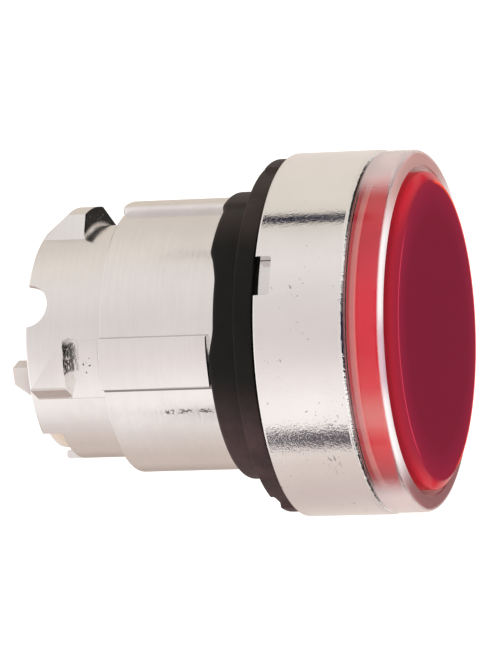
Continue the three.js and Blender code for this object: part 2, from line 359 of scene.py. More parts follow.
class Nodes:
    """A short way to write a material's node tree."""

    def __init__(self, name):
        self.material = bpy.data.materials.new(name)
        self.material.use_nodes = True
        self.tree = self.material.node_tree
        self.shader = self.tree.nodes["Principled BSDF"]
        self.place = self.add("ShaderNodeTexCoord").outputs["Object"]

    def add(self, kind, **settings):
        node = self.tree.nodes.new(kind)
        for key, value in settings.items():
            setattr(node, key, value)
        return node

    def link(self, source, target):
        self.tree.links.new(source, target)

    def feed(self, socket, value):
        """Gives a socket a number, a colour or another node's output."""
        if isinstance(value, (int, float)):
            socket.default_value = value
        elif isinstance(value, tuple):
            socket.default_value = (*value, 1)[:len(socket.default_value)]
        else:
            self.link(value, socket)

    def stretched(self, scale):
        """Object places stretched by a scale per axis."""
        node = self.add("ShaderNodeMapping")
        node.inputs["Scale"].default_value = scale
        self.link(self.place, node.inputs["Vector"])
        return node.outputs["Vector"]

    def noise(self, scale, detail=3.0, rough=0.55, at=None):
        """Cloudy noise, with about so many clouds to the metre."""
        node = self.add("ShaderNodeTexNoise")
        node.inputs["Scale"].default_value = scale
        node.inputs["Detail"].default_value = detail
        node.inputs["Roughness"].default_value = rough
        self.link(at or self.place, node.inputs["Vector"])
        return node.outputs["Fac"]

    def ramp(self, value, stops):
        """Maps a value to a colour by (position, colour) stops."""
        node = self.add("ShaderNodeValToRGB")
        elements = node.color_ramp.elements
        for position, _ in stops[2:]:
            elements.new(position)
        for element, (position, colour) in zip(elements, stops):
            element.position = position
            element.color = (*colour, 1)
        self.link(value, node.inputs["Fac"])
        return node.outputs["Color"]

    def rerange(self, value, low, high, to_low=0.0, to_high=1.0, way="LINEAR"):
        """Takes a value from one range to another and keeps it there."""
        node = self.add("ShaderNodeMapRange", interpolation_type=way)
        ends = (("From Min", low), ("From Max", high), ("To Min", to_low), ("To Max", to_high))
        for key, number in ends:
            node.inputs[key].default_value = number
        self.link(value, node.inputs["Value"])
        return node.outputs["Result"]

    def ease(self, value, low, high, to_low=0.0, to_high=1.0):
        """Does what rerange does, with a gentle start and end."""
        return self.rerange(value, low, high, to_low, to_high, "SMOOTHSTEP")

    def math(self, operation, first, second=0):
        node = self.add("ShaderNodeMath", operation=operation)
        self.feed(node.inputs[0], first)
        self.feed(node.inputs[1], second)
        return node.outputs["Value"]

    def times(self, product, *others):
        """The product of all the values."""
        for value in others:
            product = self.math("MULTIPLY", product, value)
        return product

    def most(self, greatest, *others):
        """The greatest of the values."""
        for value in others:
            greatest = self.math("MAXIMUM", greatest, value)
        return greatest

    def mix(self, share, first, second):
        """A colour that goes from the first to the second with the share."""
        node = self.add("ShaderNodeMix", data_type="RGBA")
        self.feed(node.inputs[0], share)
        self.feed(node.inputs[6], first)
        self.feed(node.inputs[7], second)
        return node.outputs[2]

    def apart(self, place):
        """The X, Y and Z of a place."""
        split = self.add("ShaderNodeSeparateXYZ")
        self.link(place, split.inputs["Vector"])
        return split.outputs["X"], split.outputs["Y"], split.outputs["Z"]

    def axial(self):
        """The place along the axis, the distance from it and the height, in millimetres."""
        x, y, z = self.apart(self.stretched((1 / MM, 1 / MM, 1 / MM)))
        radius = self.math("SQRT", self.math("ADD", self.times(x, x), self.times(z, z)))
        return y, radius, z

    def clock(self):
        """The clock angle, in radians from -pi to pi, with 12 o'clock at 0."""
        x, _, z = self.apart(self.place)
        return self.math("ARCTAN2", x, z)

    def bump(self, height, strength, depth, under=None):
        """A normal that a height tips, by so many millimetres, on top of another normal."""
        node = self.add("ShaderNodeBump")
        node.inputs["Strength"].default_value = strength
        node.inputs["Distance"].default_value = depth * MM
        self.link(height, node.inputs["Height"])
        if under is not None:
            self.link(under, node.inputs["Normal"])
        return node.outputs["Normal"]

    def set(self, **values):
        """Sets the shader's own sockets, with underscores for spaces."""
        for key, value in values.items():
            self.feed(self.shader.inputs[key.replace("_", " ")], value)


def band(m, value, low, high, before, after):
    """1 where a value lies from low to high, rising over `before` and falling over `after`."""
    rising = m.ease(value, low - before, low)
    falling = m.ease(value, high, high + after, 1.0, 0.0)
    return m.times(rising, falling)


def along_band(m, low, high, before, after):
    """A band along the axis, in millimetres."""
    along, _, _ = m.axial()
    return band(m, along, low, high, before, after)


def clock_band(m, low, high, edge):
    """A band of clock angles in degrees. It can't cross 6 o'clock, where the nodes' angle jumps."""
    turn = 360 if low > BOTTOM else 0
    soft = math.radians(edge)
    return band(m, m.clock(), math.radians(low - turn), math.radians(high - turn), soft, soft)


def chrome_material():
    """Bright chrome plate: a slight ripple, fine grain, and patches of specks and short nicks."""
    m = Nodes("chrome_plate")
    ripple = m.noise(1100, 3, 0.6)
    low = clock_band(m, BOTTOM + 20, LEFT - 10, 10)
    grain = m.times(m.noise(4200, 2, 0.8), m.rerange(low, 0.0, 1.0, 0.8, 1.5))
    tone = m.noise(150, 5, 0.6)
    nicks = m.rerange(m.noise(2700, 2, 0.7, m.stretched((1.0, 0.8, 0.7))), 0.66, 0.70)
    worn = m.rerange(m.noise(330, 1.0), 0.61, 0.66)
    specks = m.rerange(m.noise(2600, 1.0), 0.775, 0.79)
    marks = m.most(m.times(nicks, worn), specks, chrome_scuffs(m))
    plate = m.ramp(tone, [(0.3, (0.775, 0.745, 0.73)), (0.7, (0.825, 0.80, 0.785))])
    m.set(Base_Color=m.mix(marks, plate, (0.40, 0.38, 0.38)), Metallic=1.0)
    m.set(Roughness=m.rerange(tone, 0.3, 0.7, 0.04, 0.09))
    front_edge = along_band(m, bezel_at.front, bezel_at.front + 0.35, 0.05, 0.15)
    rough_edge = m.times(m.noise(3000, 2, 0.8), front_edge)
    uneven = m.bump(ripple, 1.0, 0.006)
    fine = m.bump(grain, 1.0, 0.01, uneven)
    chipped = m.bump(rough_edge, 1.0, 0.05, fine)
    m.set(Normal=m.bump(marks, 0.6, 0.01, chipped))
    return m.material


def chrome_scuffs(m):
    """1 on the short slanting scratches low on the near side of the bezel."""
    streaks = m.noise(1900, 3, 0.8, m.stretched((1.0, 1.6, 0.6)))
    lines = m.rerange(streaks, 0.57, 0.61)
    return m.times(lines, along_band(m, -7.3, -6.6, 0.3, 0.3), clock_band(m, LEFT - 37, LEFT - 22, 6))


def raw_skin_and_top_shade(m, radius):
    """1 where the casting's dark rough skin shows beside the near lug, and where the top lug's front face
    is darkened with painted shade.
    """
    streaks = m.noise(3000, 2, 0.9, m.stretched((1.0, 1.4, 0.8)))
    proud = m.rerange(radius, NECK_RADIUS + 0.05, LAND_RADIUS + 0.1)

    beside_lug = along_band(m, LUG_FRONT - 0.3, LUG_FRONT + 0.02, 0.75, 0.05)
    near_side = clock_band(m, LEFT - 4.5, LEFT + 7, 2)
    side = m.times(beside_lug, near_side, m.rerange(streaks, 0.47, 0.51))

    # Painted shade: the top lug's front face is darkened as if it lay in shadow.
    on_front = along_band(m, LUG_FRONT - 0.05, LUG_FRONT + 0.1, 0.03, 0.03)
    over_top = clock_band(m, TOP - 26, TOP + 46, 1)
    top = m.times(on_front, over_top, m.rerange(streaks, 0.60, 0.68, 1.0, 0.75))
    return m.times(m.most(side, top), proud)


def rib_corner_shade(m, radius):
    """1 in a thin line of painted shade in the corner under the near rib, and less in the one over it."""
    low = m.rerange(radius, BARREL_RADIUS + 0.02, BARREL_RADIUS + 0.2, 1.0, 0.0)
    on_barrel = along_band(m, RIB_START, SHOULDER - 0.05, 0.05, 0.02)
    below = LEFT - RIB_BELOW
    above = LEFT + RIB_ABOVE
    under = clock_band(m, below - 1.8, below + 0.2, 0.15)
    over = m.times(clock_band(m, above - 0.1, above + 0.5, 0.1), 0.4)
    return m.times(m.most(under, over), on_barrel, low)


def barrel_scuffs(m):
    """Up to 0.75 on a row of short dark scuffs along the barrel, below its near rib."""
    dashes = m.rerange(m.noise(3100, 2, 0.8, m.stretched((1.0, 0.8, 1.0))), 0.50, 0.56)
    row = m.times(along_band(m, 3.6, 7.2, 0.4, 0.5), clock_band(m, LEFT - 25.4, LEFT - 24, 0.9))
    return m.times(dashes, row, 0.75)


def lug_pits(m):
    """1 in the small pits in front of the near lug."""
    pits = m.rerange(m.noise(2300, 1.0), 0.64, 0.67)
    return m.times(pits, along_band(m, 13.0, 14.0, 0.2, 0.2), clock_band(m, LEFT - 8, LEFT, 1))


def notch_floor(m, radius, plate):
    """Dulls the flange where the bezel's notch shows it, with painted shade along the notch's edges and on
    the flange beyond them.
    """
    flange = barrel_at.radius
    on_flange = m.rerange(radius, flange - 0.3, flange - 0.1)
    behind_edge = along_band(m, bezel_at.rear - NOTCH_DEPTH + 0.2, 0.0, 0.2, 0.1)
    unshaded = m.times(behind_edge, clock_band(m, KEY_CLOCK - 6.6, KEY_CLOCK + 6.4, 0.5))
    # Painted shade: the recessed flange is darkened towards the notch's edges.
    notch_edge_shade = m.math("SUBTRACT", 0.7, m.times(unshaded, 0.7))
    dull = m.mix(m.times(on_flange, 0.5), plate, (0.62, 0.60, 0.61))
    return m.mix(m.times(on_flange, notch_edge_shade), dull, (0.16, 0.15, 0.15))


def lug_flank_reflection(m, radius):
    """Up to a half on the near lug's lower flank, painted a dark warm brown as a reflection of the dim
    surroundings below it.
    """
    lug = m.times(along_band(m, LUG_FRONT + 0.1, RIM, 0.1, 0.1), clock_band(m, LEFT - 28, LEFT - 11.5, 1))
    return m.times(lug, m.rerange(radius, LAND_RADIUS - 0.2, LAND_RADIUS, 0.0, 0.5))


def cast_colour(m, radius, turning):
    """The satin plate's colour, with its turning marks, a duller notch floor, and painted shade and
    reflection in places.
    """
    tone = m.noise(130, 5, 0.6)
    plate = m.ramp(tone, [(0.3, (0.765, 0.735, 0.715)), (0.7, (0.825, 0.80, 0.78))])
    plate = m.mix(m.rerange(turning, 0.35, 0.65, 0.0, 0.2), plate, (0.72, 0.69, 0.675))
    # Painted shade in the corners under and over the near rib.
    plate = m.mix(m.times(rib_corner_shade(m, radius), 0.8), plate, (0.10, 0.075, 0.07))
    plate = notch_floor(m, radius, plate)
    # Painted reflection on the near lug's downward-facing flank.
    return m.mix(lug_flank_reflection(m, radius), plate, (0.42, 0.36, 0.33))


def cast_material():
    """Satin chrome plate on a zinc casting: turning grain, pits and scuffs, raw skin by the near lug, and
    painted shade on the top lug's front.
    """
    m = Nodes("cast_metal")
    _, radius, _ = m.axial()
    turning = m.noise(3600, 2, 0.6, m.stretched((0.04, 1, 0.04)))
    skin = m.noise(700, 5, 0.6)
    plate = cast_colour(m, radius, turning)
    # Dark rough skin beside the near lug, and painted shade on the top lug's front.
    raw = raw_skin_and_top_shade(m, radius)
    dark = m.most(raw, lug_pits(m), barrel_scuffs(m))
    m.set(Base_Color=m.mix(dark, plate, (0.022, 0.02, 0.019)), Metallic=1.0)
    m.set(Roughness=m.most(m.rerange(skin, 0.3, 0.7, 0.15, 0.25), m.times(dark, 0.6)))
    uneven = m.bump(skin, 0.6, 0.02)
    turned_skin = m.bump(turning, 0.8, 0.006, uneven)
    m.set(Normal=m.bump(raw, 1.0, 0.05, turned_skin))
    return m.material


def rubber_material():
    """Black moulded elastomer with a painted brown sheen low down and at its top."""
    m = Nodes("black_rubber")
    _, _, height = m.axial()
    patch = m.noise(420, 5, 0.65)
    # Painted sheen: the brown low down and at the top stands in for the surroundings the rubber reflects.
    low = m.ease(height, -7, -1, 1.0, 0.0)
    high = m.ease(height, 8, 11.5)
    worn = m.rerange(patch, 0.35, 0.65, 0.45, 1.0)
    black = (0.0065, 0.006, 0.0045)
    colour = m.mix(m.times(high, worn), black, (0.055, 0.038, 0.033))
    colour = m.mix(m.times(low, worn), colour, (0.078, 0.044, 0.047))
    m.set(Base_Color=colour, Roughness=m.rerange(patch, 0.3, 0.7, 0.5, 0.7), Specular_IOR_Level=0.18)
    specks = m.rerange(m.noise(2600, 1.0), 0.72, 0.76)
    grain = m.bump(m.noise(3000, 3), 0.4, 0.01)
    m.set(Normal=m.bump(specks, 0.5, 0.02, grain))
    return m.material


def grey_rubber_material():
    """Dark grey seal rubber."""
    m = Nodes("grey_rubber")
    patch = m.noise(500, 4)
    colour = m.ramp(patch, [(0.3, (0.05, 0.05, 0.052)), (0.7, (0.085, 0.085, 0.088))])
    m.set(Base_Color=colour, Roughness=m.rerange(patch, 0.3, 0.7, 0.6, 0.8))
    m.set(Normal=m.bump(m.noise(2500, 3), 0.3, 0.01))
    return m.material


def painted_collar_tint(m, front, height):
    """The milky plastic's colour: painted tints of the red lens's glow and shade over it, under it and
    level with its middle.
    """
    away = m.math("ABSOLUTE", height)
    middle = m.ease(away, 1.5, 4)
    over = m.ease(height, 8.5, 12.5)
    under = m.ease(height, -11.5, -7.5, 1.0, 0.0)
    milk = m.mix(middle, (0.64, 0.46, 0.54), (0.97, 0.95, 0.96))
    milk = m.mix(over, milk, (0.56, 0.29, 0.265))
    milk = m.mix(under, milk, (0.25, 0.06, 0.065))
    return m.mix(front, (0.96, 0.82, 0.78), milk)


def clear_material():
    """Clear plastic, milky at its front edge and ends, where the milk is painted light: a white highlight
    beside the lens, brown-pink glow over it, and a faint painted glare.
    """
    m = Nodes("clear_plastic")
    along, _, height = m.axial()
    edge = collar_at.front + 0.1
    # Painted highlight: the front edge turns milky white where light catches it.
    front = m.ease(along, edge, edge + 0.2, 0.94, 0.0)
    # Painted glow and shade: the collar's ends turn milky with the lens's tints.
    top_end = m.ease(height, 11.7, 13.3, 0.0, 0.5)
    low_end = m.ease(height, -12.2, -9.6, 0.6, 0.0)
    # Painted highlight: a faint pale glare across the collar below its middle.
    glare = m.times(band(m, height, -5.0, -4.4, 2.4, 2.4), 0.07)
    milky = m.most(front, glare, top_end, low_end)
    m.set(Base_Color=m.mix(milky, (0.98, 0.84, 0.86), painted_collar_tint(m, front, height)))
    m.set(Transmission_Weight=m.math("SUBTRACT", 1.0, milky), IOR=1.45, Specular_IOR_Level=0.12)
    m.set(Roughness=m.rerange(m.noise(700, 3), 0.3, 0.7, 0.03, 0.1))
    m.set(Normal=m.bump(m.noise(350, 2), 0.15, 0.02))
    return m.material


def painted_lens_face(m, radius, height):
    """The lens face's red, painted brighter towards its rim as if lit through it, with painted bright
    lines along the rim and a painted orange-red glint at its far edge.
    """
    share = m.rerange(radius, 0.0, lens_at.radius)
    away = m.math("ABSOLUTE", height)
    # Painted glow: the face is dark in the middle and brightens towards the rim.
    face = m.ramp(share, [
        (0.0, (0.19, 0.0105, 0.033)),
        (0.72, (0.20, 0.011, 0.033)),
        (0.84, (0.24, 0.013, 0.04)),
        (0.93, (0.29, 0.016, 0.042)),
        (1.0, (0.38, 0.018, 0.034)),
    ])
    # Painted highlight: a thin bright line just inside the rim, at the sides.
    line = m.times(band(m, share, 0.922, 0.932, 0.008, 0.008), 0.85)
    beside = m.ease(away, 7, 10, 1.0, 0.0)
    face = m.mix(m.times(line, beside), face, (0.70, 0.05, 0.10))
    # Painted glow on the rim's shoulder at the top and bottom.
    rim = m.ease(share, 0.93, 0.97)
    ends = m.ease(away, 8, 12, 0.0, 0.8)
    face = m.mix(m.times(rim, ends), face, (0.62, 0.02, 0.035))
    # Painted glint: an orange-red line along the far edge.
    edge = m.times(band(m, share, 0.928, 0.945, 0.006, 0.008), 0.95)
    far_edge_glint = m.times(edge, clock_band(m, RIGHT - 75, RIGHT + 70, 10))
    return m.mix(far_edge_glint, face, (0.95, 0.09, 0.045))


def painted_lens_skirt(m, height):
    """The bright red of the lens's skirt, painted by height to stand in for light through it, with clouds
    of a deeper red.
    """
    climb = m.rerange(height, -lens_at.radius, lens_at.radius)
    skirt = m.ramp(climb, [
        (0.02, (0.68, 0.10, 0.11)),
        (0.14, (0.72, 0.07, 0.09)),
        (0.24, (0.95, 0.06, 0.07)),
        (0.32, (1.0, 0.20, 0.14)),
        (0.40, (0.97, 0.04, 0.055)),
        (0.50, (0.90, 0.007, 0.035)),
        (0.68, (0.95, 0.010, 0.045)),
        (0.84, (0.70, 0.010, 0.045)),
        (0.95, (0.80, 0.05, 0.06)),
    ])
    cloud = m.rerange(m.noise(420, 3, 0.6, m.stretched((1.0, 0.4, 1.0))), 0.3, 0.7, 0.0, 0.3)
    return m.mix(cloud, skirt, (0.80, 0.012, 0.05))


def red_material():
    """Red translucent lens, with painted light: dark on its face, as if the hollow behind it were in
    shade, and a painted bright skirt that glows though it is no lamp.
    """
    m = Nodes("red_lens")
    along, radius, height = m.axial()
    face = painted_lens_face(m, radius, height)
    skirt = painted_lens_skirt(m, height)
    skirt_front = lens_at.front + 0.9
    lit = m.ease(along, skirt_front, skirt_front + 0.8)
    m.set(Base_Color=m.mix(lit, face, skirt), Roughness=0.16, IOR=1.2, Specular_IOR_Level=0.12)
    # Painted glow: the skirt's emission lights it though no lamp is behind it.
    m.set(Emission_Color=m.mix(lit, (0, 0, 0), skirt), Emission_Strength=0.2)
    m.set(Subsurface_Weight=0.1, Subsurface_Scale=MM, Subsurface_Radius=(1.0, 0.1, 0.1))
    m.set(Normal=m.bump(m.noise(180, 2), 0.12, 0.03))
    return m.material


def moulded(m, colour, patch, roughness):
    """Finishes a moulded plastic: a faint unevenness in its sheen and surface."""
    m.set(Base_Color=colour, Roughness=m.rerange(patch, 0.3, 0.7, roughness - 0.06, roughness + 0.06))
    m.set(Subsurface_Weight=0.1, Subsurface_Scale=0.8 * MM)
    m.set(Normal=m.bump(m.noise(1800, 3), 0.25, 0.01))
    return m.material


def cream_material():
    """The plunger's cream plastic, paler on its feet."""
    m = Nodes("cream_plastic")
    along, _, _ = m.axial()
    patch = m.noise(300, 5)
    tube = m.ramp(patch, [(0.3, (0.76, 0.64, 0.51)), (0.7, (0.84, 0.73, 0.60))])
    foot_cream = m.ramp(patch, [(0.3, (0.72, 0.67, 0.64)), (0.7, (0.79, 0.745, 0.715))])
    at_foot = m.rerange(along, RIM - 0.6, RIM - 0.1)
    return moulded(m, m.mix(at_foot, tube, foot_cream), patch, 0.45)


def white_material():
    """White plastic, with a painted pink and then red glow, and a faint emission, where it is close behind
    the red lens.
    """
    m = Nodes("white_plastic")
    along, _, _ = m.axial()
    patch = m.noise(300, 5)
    white = m.ramp(patch, [(0.3, (0.76, 0.75, 0.71)), (0.7, (0.84, 0.83, 0.79))])
    skirt_end = lens_at.rear
    by_lens = m.ease(along, skirt_end + 0.9, skirt_end + 1.6, 1.0, 0.0)
    behind = m.ease(along, skirt_end + 0.45, skirt_end + 0.55)
    glow = m.mix(behind, (1.0, 0.36, 0.33), (0.95, 0.10, 0.12))
    # Painted glow: the emission makes the plastic by the lens shine red though it is no lamp.
    m.set(Emission_Color=m.mix(by_lens, (0, 0, 0), glow), Emission_Strength=0.16)
    return moulded(m, m.mix(by_lens, white, glow), patch, 0.4)


def frosted_material():
    """Frosted translucent plastic that spreads the lamp's light."""
    m = Nodes("frosted_plastic")
    patch = m.noise(900, 4)
    m.set(Base_Color=(0.9, 0.88, 0.86), Transmission_Weight=0.6, IOR=1.49)
    m.set(Roughness=m.rerange(patch, 0.3, 0.7, 0.35, 0.5))
    m.set(Normal=m.bump(m.noise(2400, 3), 0.4, 0.02))
    return m.material


def steel_material():
    """Drawn spring steel."""
    m = Nodes("spring_steel")
    patch = m.noise(1200, 4)
    m.set(Base_Color=m.ramp(patch, [(0.3, (0.28, 0.29, 0.31)), (0.7, (0.42, 0.43, 0.45))]))
    m.set(Metallic=1.0, Roughness=m.rerange(patch, 0.3, 0.7, 0.22, 0.36))
    m.set(Normal=m.bump(m.noise(4000, 2), 0.3, 0.006))
    return m.material


# ---------- fixed metal pieces ----------

def barrel_turning():
    """Head flange, barrel, groove and neck, with the bores inside."""
    front = barrel_at.front
    head = barrel_at.radius
    mouth = 11.2
    mouth_floor = -2.8
    pocket = 10.2
    washer_seat = 9.3
    return turned("barrel", [
        (mouth, front, 0.1),
        (head, front, 0.15),
        (head, HEAD_REAR, 0.15),
        (BARREL_RADIUS, HEAD_REAR, 0.2),
        (BARREL_RADIUS, SHOULDER, 0.16),
        (NECK_RADIUS, SHOULDER, 0.2),
        (NECK_RADIUS, RIM, 0.22),
        (NECK_BORE, RIM, 0.12),
        (NECK_BORE, washer_seat, 0.1),
        (SPRING_BORE, washer_seat, 0.1),
        (SPRING_BORE, BUSH_SEAT, 0.05),
        (pocket, BUSH_SEAT, 0.05),
        (pocket, mouth_floor, 0.05),
        (mouth, mouth_floor, 0.05),
    ], FINE)


def rib(start, end, front):
    """A rib along the barrel between two clock angles, which stops it from turning in its hole."""
    return sector(BARREL_RADIUS - 0.5, RIB_RADIUS, start, end, front, SHOULDER, 0.13)


def lug_blank(clock, base_from, top_from, top_to, base_to):
    """A bayonet lug whose flanks slope down to the neck, before its back is cut."""
    under = arc(ROOT, clock + base_to, clock + base_from)
    outside = arc(LUG_RADIUS, clock + top_from, clock + top_to)
    return axial_prism(under + outside, LUG_FRONT, RIM)


def top_lug():
    """The top lug is the widest. Its back ramps down to the rim, and its top falls away flat."""
    inside = NECK_BORE + 0.2
    outside = LUG_RADIUS + 1
    front = LUG_FRONT - 1
    rear = RIM - 0.1
    ramp = turned("ramp", [
        (inside, front, 0),
        (outside, front, 0),
        (outside, LUG_FRONT + 1.5, 0),
        (LUG_RADIUS, LUG_FRONT + 1.6, 0),
        (NECK_RADIUS, rear, 0),
        (inside, rear, 0),
    ], FINE)
    flat = LUG_RADIUS - 0.74
    flat_cut = radial_prism(straight_plan(4.5, front, RIM + 1), flat, outside, TOP + 32)
    lug = combine(lug_blank(TOP, -22, -12, 36, 44), ramp, "INTERSECT")
    return soften_object(combine(lug, flat_cut, "DIFFERENCE"), 0.1)


def side_lug(clock, up):
    """A side lug is three-cornered: its upper flank runs from the front to the rim's low corner."""
    front = LUG_FRONT - 1
    rear = RIM - 0.65
    plan = [(1.7, front), (1.7, LUG_FRONT), (-2.2, rear), (-5, rear), (-5, front)]
    wedge = radial_prism([(up * across, y) for across, y in plan], NECK_BORE, LUG_RADIUS + 1, clock)
    angles = sorted(up * angle for angle in (-22.5, -12, 9, 12))
    lug = combine(lug_blank(clock, *angles), wedge, "INTERSECT")
    return soften_object(lug, 0.1)


def key_notch():
    """Cuts the half-round notch in the rim."""
    radius = 1.75
    sides = 40
    angles = [math.tau * i / sides for i in range(sides)]
    outline = [(radius * math.sin(angle), RIM + radius * math.cos(angle)) for angle in angles]
    return radial_prism(outline, NECK_BORE - 1, NECK_RADIUS + 1, KEY_CLOCK)


def low_notch():
    """Cuts the wide notch low in the rim, where the plunger shows."""
    start = BOTTOM + 7
    end = BOTTOM + 47.5
    return sector(NECK_BORE - 1, NECK_RADIUS + 1, start, end, RIM - 1.7, RIM + 1, 0.3)


def make_barrel(material):
    """The cast body, with its ribs, land and lugs joined on and its notches cut."""
    body = barrel_turning()
    land = sector(ROOT, LAND_RADIUS, LEFT - 19.5, LEFT + 9, SHOULDER - 0.3, LUG_FRONT + 0.3, 0.08)
    added = [
        rib(TOP - 9.5, TOP + 9.5, RIB_START + 0.4),
        rib(LEFT - RIB_BELOW, LEFT + RIB_ABOVE, RIB_START),
        rib(RIGHT - RIB_ABOVE, RIGHT + RIB_BELOW, RIB_START),
        land,
        top_lug(),
        side_lug(LEFT, 1),
        side_lug(RIGHT, -1),
    ]
    for extra in added:
        combine(body, extra, "UNION")
    for cutter in (key_notch(), low_notch()):
        combine(body, cutter, "DIFFERENCE")
    return settle(body, "barrel", "barrel_body", "head", material)


def make_bezel(material):
    """The chrome ring, with a notch in its rear edge."""
    inner = bezel_at.radius - 1.0
    ring = turned("bezel", [
        (inner, bezel_at.front, 0.1),
        (bezel_at.radius, bezel_at.front, 0.4),
        (bezel_at.radius, bezel_at.rear, 0.22),
        (inner, bezel_at.rear, 0.1),
    ], FINE)
    plan = straight_plan(1.6, bezel_at.rear - NOTCH_DEPTH, bezel_at.rear + 1)
    notch = radial_prism(plan, inner - 1, bezel_at.radius + 1, KEY_CLOCK, 0.25)
    combine(ring, notch, "DIFFERENCE")
    return settle(ring, "bezel", "bezel_ring", "head", material)


# ---------- rubber and plastic pieces on the head ----------

def bump_at(clock, centre, half_width, edge):
    """1 within half_width of a clock angle, falling smoothly to 0 over edge degrees."""
    away = abs((clock - centre + 180) % 360 - 180)
    share = min(max((half_width + edge - away) / edge, 0), 1)
    return share * share * (3 - 2 * share)


def make_gasket(material):
    """The panel gasket: tabs on its flange, and a sleeve that is longer over the top rib."""
    inner = BARREL_RADIUS + 0.03
    flange = gasket_at.radius
    boss = bezel_at.radius - 1.55
    flange_front = -1.5
    flange_middle = -0.3

    def profile(clock):
        over_rib = bump_at(clock, TOP, 15, 5)
        beside_rib = bump_at(clock, TOP, 44, 6)
        dip = bump_at(clock, KEY_CLOCK - 5.5, 9, 15)
        tab = max(bump_at(clock, TOP, 11, 1.3), bump_at(clock, BOTTOM, 22, 1.3))
        sleeve = 11.4 + 0.2 * over_rib
        rear = 2.9 + 0.2 * over_rib + 0.2 * beside_rib - 0.45 * dip
        rim = flange + (gasket_at.height - flange) * tab
        cut_back = flange - 0.65 * bump_at(clock, BOTTOM, 28, 1.3)
        return rounded([
            (inner, HEAD_REAR, 0),
            (boss, HEAD_REAR, 0.05),
            (boss, flange_front, 0.05),
            (rim, flange_front, 0.1),
            (rim, flange_middle - 0.05, 0.1),
            (cut_back, flange_middle, 0.02),
            (cut_back, 0, 0.12),
            (sleeve, 0, 0.15),
            (sleeve, rear, 0.4),
            (inner, rear, 0.1),
        ])

    return settle(spun("gasket", profile, 360), "gasket", "panel_gasket", "head", material)


def make_collar(material):
    """The clear collar round the lens, with a skirt inside the bezel."""
    skirt = barrel_at.radius
    bore = 13.1
    made = turned("collar", [
        (bore, collar_at.front, 0.12),
        (collar_at.radius, collar_at.front, 0.6),
        (collar_at.radius, bezel_at.front, 0.05),
        (skirt, bezel_at.front, 0.05),
        (skirt, collar_at.rear, 0.1),
        (bore, collar_at.rear, 0.1),
    ], FINE)
    return settle(made, "collar", "guard_collar", "head", material)


def make_ring(name, node, body, material, inner, corner=0.12):
    """A plain ring that fills its CAD node's place, with rounded edges."""
    at = Span(node)
    made = turned(name, [
        (inner, at.front, corner),
        (at.radius, at.front, corner),
        (at.radius, at.rear, corner),
        (inner, at.rear, corner),
    ])
    return settle(made, name, node, body, material)


def make_lip_seal(material):
    """A flat base with a lip that leans forward and in to wipe the plunger."""
    at = Span("lip_seal")
    base_front = at.rear - 0.45
    made = turned("wiper", [
        (8.95, at.rear, 0.1),
        (at.radius, at.rear, 0.08),
        (at.radius, base_front, 0.08),
        (9.6, base_front, 0.15),
        (8.85, at.front, 0.12),
        (8.5, at.front, 0.06),
    ])
    return settle(made, "wiper", "lip_seal", "head", material)


def make_bush(material):
    """The bush that guides the plunger's front and stops it."""
    at = Span("guide_bush")
    bore = 8.5
    sleeve = 9.55
    made = turned("bush", [
        (bore, at.front, 0.1),
        (at.radius, at.front, 0.06),
        (at.radius, BUSH_SEAT, 0.06),
        (sleeve, BUSH_SEAT, 0.05),
        (sleeve, at.rear, 0.12),
        (bore, at.rear, 0.12),
    ])
    return settle(made, "bush", "guide_bush", "head", material)


def coil_middle(turn, turns, wire):
    """How far along the axis the spring's wire lies after some turns: close, then free, then close."""
    closed = 0.75
    length = spring_at.rear - spring_at.front
    free = min(max((turn - closed) / (turns - 2 * closed), 0), 1)
    lead = (min(turn, closed) + max(turn - turns + closed, 0)) * 2 * wire
    climb = length - 2 * wire - 2 * closed * 2 * wire
    return spring_at.front + wire * 0.6 + lead + (climb + wire * 0.8) * free


def coil_ring(turn, y, wire, sides):
    """The places round the spring's wire after some turns, with its ends ground flat."""
    middle = (plunger_at_radius() + SPRING_BORE) / 2
    angle = turn * math.tau
    places = []
    for k in range(sides):
        round_wire = math.tau * k / sides
        radius = middle + wire * math.cos(round_wire)
        place_y = min(max(y + wire * math.sin(round_wire), spring_at.front), spring_at.rear)
        places.append(Vector((radius * math.sin(angle), place_y, radius * math.cos(angle))))
    return places


def coil():
    """A coil of round wire with closed, ground ends."""
    wire = 0.325
    turns = 6
    sides = 14
    steps_a_turn = 56
    steps = turns * steps_a_turn
    shape = bmesh.new()
    rings = []
    for i in range(steps + 1):
        turn = turns * i / steps
        places = coil_ring(turn, coil_middle(turn, turns, wire), wire, sides)
        rings.append([shape.verts.new(place * MM) for place in places])
    for here, after in zip(rings, rings[1:]):
        stitch(shape, here, after)
    shape.faces.new(rings[0])
    shape.faces.new(rings[-1])
    bmesh.ops.recalc_face_normals(shape, faces=shape.faces)
    return object_from("coil", shape)


def make_spring(material):
    """The return spring, which in the real head gets shorter as the button is pressed; here it only gets a
    mesh of its own.
    """
    made = settle(coil(), "coil", "return_spring", "head", material)
    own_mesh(made)
    return made


# ---------- moving pieces ----------

def plunger_at_radius():
    """The plunger tube's outer radius, just inside its flange's."""
    return plunger_at.radius - 0.95


def make_lens(material):
    """The lens cap: a flat face, a rounded shoulder, and a skirt."""
    front = lens_at.front
    hollow = front + 1.1
    bore = lens_at.radius - 0.9
    made = turned("lens", [
        (0, front, 0),
        (lens_at.radius - 0.75, front, 0.2),
        (lens_at.radius, front + 0.5, 0.35),
        (lens_at.radius, lens_at.rear, 0.1),
        (bore, lens_at.rear, 0.1),
        (bore, hollow, 0.1),
        (0, hollow, 0),
    ], FINE)
    return settle(made, "lens", "lens_cap", "button", material)


